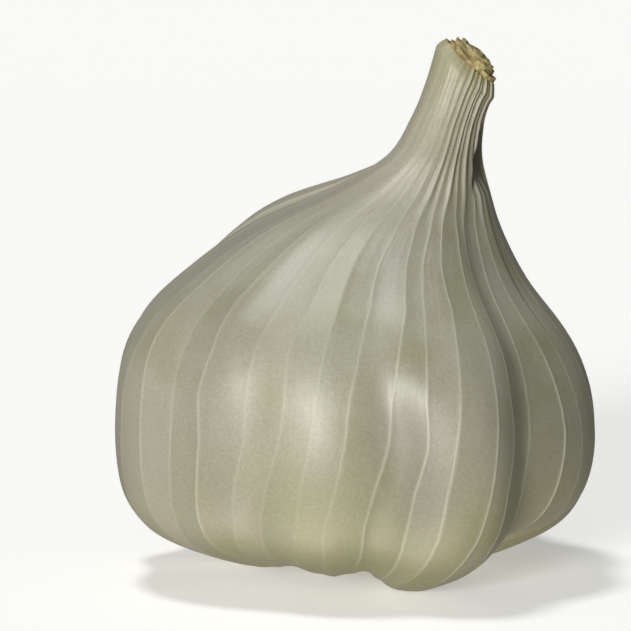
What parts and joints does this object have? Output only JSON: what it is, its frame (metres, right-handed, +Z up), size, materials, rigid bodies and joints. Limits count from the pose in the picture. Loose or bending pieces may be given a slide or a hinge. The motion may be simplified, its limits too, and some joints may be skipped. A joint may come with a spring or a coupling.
{
  "type": "garlic bulb",
  "caption": "Whole dried garlic bulb: plump clove lobes under papery skin, tapering into a leaning neck cut at a slant, standing on its clove feet.",
  "frame": {"origin": "on the surface the bulb stands on, under the middle of its outline seen from above", "axes": "+Z up from the clove feet to the neck; +X the side the neck leans to; -Y the front"},
  "size_m": [0.06, 0.0618, 0.0655],
  "materials": {
    "garlic_skin": "satin",
    "dry_stalk": "matte",
    "root_cork": "matte"
  },
  "bodies": {
    "root": {"bulb": "garlic_skin", "stalk": "dry_stalk", "root_plate": "root_cork"}
  },
  "joints": []
}
